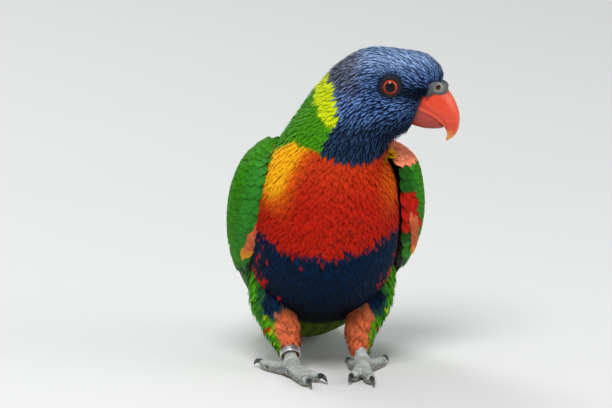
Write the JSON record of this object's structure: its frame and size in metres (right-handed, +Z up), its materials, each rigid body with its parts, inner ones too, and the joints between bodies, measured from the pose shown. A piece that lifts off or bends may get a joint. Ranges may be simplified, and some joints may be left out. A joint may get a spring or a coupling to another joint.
{
  "type": "rainbow lorikeet figure",
  "caption": "Life-size rainbow lorikeet standing upright, head turned to its left, wings folded, long pointed tail laid on the floor, a plain metal ring on its right leg.",
  "frame": {"origin": "on the floor, under the middle of the bird's box", "axes": "+X towards the bird's left, -Y the way its body faces, +Z up"},
  "size_m": [0.0996, 0.1972, 0.1478],
  "materials": {
    "hood_feathers": "soft blue feathers with paler shafts",
    "neck_feathers": "soft yellow-green feathers",
    "breast_feathers": "soft orange-red feathers over dark blue belly feathers",
    "wing_feathers": "close green flight feathers",
    "tail_feathers": "close green tail feathers",
    "thigh_feathers": "short soft green and salmon feathers",
    "bill_horn": "smooth red horn, satin",
    "claw_horn": "dark horn, satin",
    "scaly_skin": "dry grey skin in small scales",
    "iris": "wet and clear over a red iris",
    "ring_metal": "plain worn metal"
  },
  "bodies": {
    "root": {"bill_lower": "bill_horn", "bill_upper": "bill_horn", "claw_left_inner_back": "claw_horn", "claw_left_inner_front": "claw_horn", "claw_left_outer_back": "claw_horn", "claw_left_outer_front": "claw_horn", "claw_right_inner_back": "claw_horn", "claw_right_inner_front": "claw_horn", "claw_right_outer_back": "claw_horn", "claw_right_outer_front": "claw_horn", "eye_left": "iris", "eye_right": "iris", "head": "hood_feathers", "leg_ring": "ring_metal", "neck": "neck_feathers", "tail": "tail_feathers", "tarsus_left": "scaly_skin", "tarsus_right": "scaly_skin", "thigh_left": "thigh_feathers", "thigh_right": "thigh_feathers", "toe_left_inner_back": "scaly_skin", "toe_left_inner_front": "scaly_skin", "toe_left_outer_back": "scaly_skin", "toe_left_outer_front": "scaly_skin", "toe_right_inner_back": "scaly_skin", "toe_right_inner_front": "scaly_skin", "toe_right_outer_back": "scaly_skin", "toe_right_outer_front": "scaly_skin", "trunk": "breast_feathers", "wing_left": "wing_feathers", "wing_right": "wing_feathers"}
  },
  "joints": []
}
